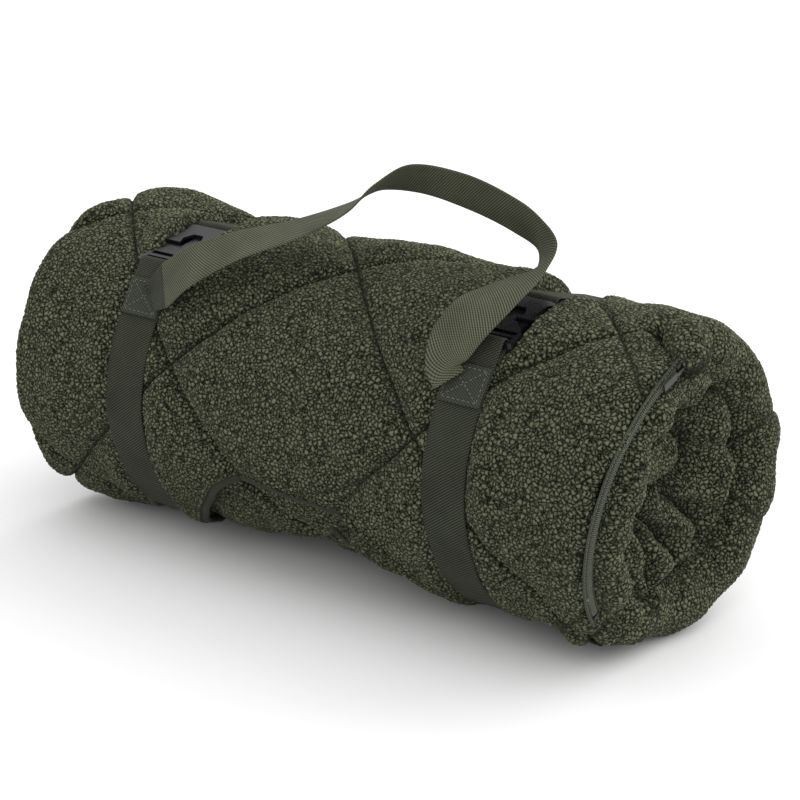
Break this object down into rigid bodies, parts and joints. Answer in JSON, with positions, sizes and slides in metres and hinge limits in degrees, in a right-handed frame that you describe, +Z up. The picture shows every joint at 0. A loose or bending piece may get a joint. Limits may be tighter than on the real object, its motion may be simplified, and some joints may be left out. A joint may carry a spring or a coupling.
{
  "type": "rolled camp blanket with carry straps",
  "caption": "Quilted sherpa camp blanket, rolled up and held by two webbing straps with side-release buckles, with a carry handle and a zipped edge.",
  "frame": {"origin": "on the ground under the middle of the rolled blanket's box, handle included", "axes": "+X along the roll towards the zipped end, -Y towards the front with the free edge, +Z up"},
  "size_m": [0.573, 0.2556, 0.3245],
  "materials": {
    "sherpa": "matt, nubbly pile",
    "wadding": "matt",
    "webbing": "matt, ribbed weave",
    "buckle_plastic": "satin",
    "zip_tape": "matt",
    "zip_metal": "satin"
  },
  "bodies": {
    "root": {"outer_panel_face": "sherpa", "outer_panel_face_core": "sherpa", "inner_panel_face": "sherpa", "outer_panel_wadding": "wadding", "outer_panel_wadding_core": "wadding", "inner_panel_wadding": "wadding", "outer_panel_lining": "sherpa", "outer_panel_lining_core": "sherpa", "inner_panel_lining": "sherpa", "free_edge_binding": "webbing", "left_strap": "webbing", "left_buckle_plug": "buckle_plastic", "left_handle_patch": "webbing", "right_strap": "webbing", "right_buckle_plug": "buckle_plastic", "right_handle_patch": "webbing", "zip_coil_outer": "zip_tape", "zip_coil_inner": "zip_tape", "zip_tape_outer": "zip_tape", "zip_tape_inner": "zip_tape", "zip_stop_bottom": "zip_metal", "zip_stop_top": "zip_metal"},
    "left_housing": {"left_buckle_housing": "buckle_plastic", "left_strap_end": "webbing"},
    "left_prong_left": {"left_buckle_prong_left": "buckle_plastic"},
    "left_prong_right": {"left_buckle_prong_right": "buckle_plastic"},
    "right_housing": {"right_buckle_housing": "buckle_plastic", "right_strap_end": "webbing"},
    "right_prong_left": {"right_buckle_prong_left": "buckle_plastic"},
    "right_prong_right": {"right_buckle_prong_right": "buckle_plastic"},
    "handle": {"carry_handle": "webbing"},
    "zip_slider": {"zip_slider": "zip_metal"},
    "zip_pull": {"zip_pull": "zip_metal"}
  },
  "joints": [
    {"name": "left_buckle_release", "type": "slide", "parent": "root", "child": "left_housing", "axis": [0, 0.9781, 0.2079], "range_m": [0, 0.036], "deforming": ["left_strap_end", "left_buckle_prong_left", "left_buckle_prong_right"]},
    {"name": "left_prong_left_squeeze", "type": "hinge", "parent": "root", "child": "left_prong_left", "pos_m": [-0.19, -0.04733, 0.23671], "axis": [0, -0.2079, 0.9781], "range_deg": [-14, 0], "stiffness_Nm_per_rad": 0.1},
    {"name": "left_prong_right_squeeze", "type": "hinge", "parent": "root", "child": "left_prong_right", "pos_m": [-0.1606, -0.04733, 0.23671], "axis": [0, -0.2079, 0.9781], "range_deg": [0, 14], "stiffness_Nm_per_rad": 0.1},
    {"name": "right_buckle_release", "type": "slide", "parent": "root", "child": "right_housing", "axis": [0, 0.9781, 0.2079], "range_m": [0, 0.036], "deforming": ["right_strap_end", "right_buckle_prong_left", "right_buckle_prong_right"]},
    {"name": "right_prong_left_squeeze", "type": "hinge", "parent": "root", "child": "right_prong_left", "pos_m": [0.1226, -0.04733, 0.23671], "axis": [0, -0.2079, 0.9781], "range_deg": [-14, 0], "stiffness_Nm_per_rad": 0.1},
    {"name": "right_prong_right_squeeze", "type": "hinge", "parent": "root", "child": "right_prong_right", "pos_m": [0.152, -0.04733, 0.23671], "axis": [0, -0.2079, 0.9781], "range_deg": [0, 14], "stiffness_Nm_per_rad": 0.1},
    {"name": "handle_swing", "type": "hinge", "parent": "root", "child": "handle", "pos_m": [0, -0.106, 0.20741], "axis": [1, 0, 0], "range_deg": [0, 70]},
    {"name": "zip_slider_travel", "type": "hinge", "parent": "root", "child": "zip_slider", "pos_m": [0.258, 0, 0.12741], "axis": [0.9824, 0, -0.1867], "range_deg": [0, 100], "deforming": ["zip_coil_outer", "zip_coil_inner"]},
    {"name": "zip_pull_flip", "type": "hinge", "parent": "zip_slider", "child": "zip_pull", "pos_m": [0.28519, -0.04935, 0.23247], "axis": [0.1699, -0.4147, 0.894], "range_deg": [0, 160]}
  ]
}
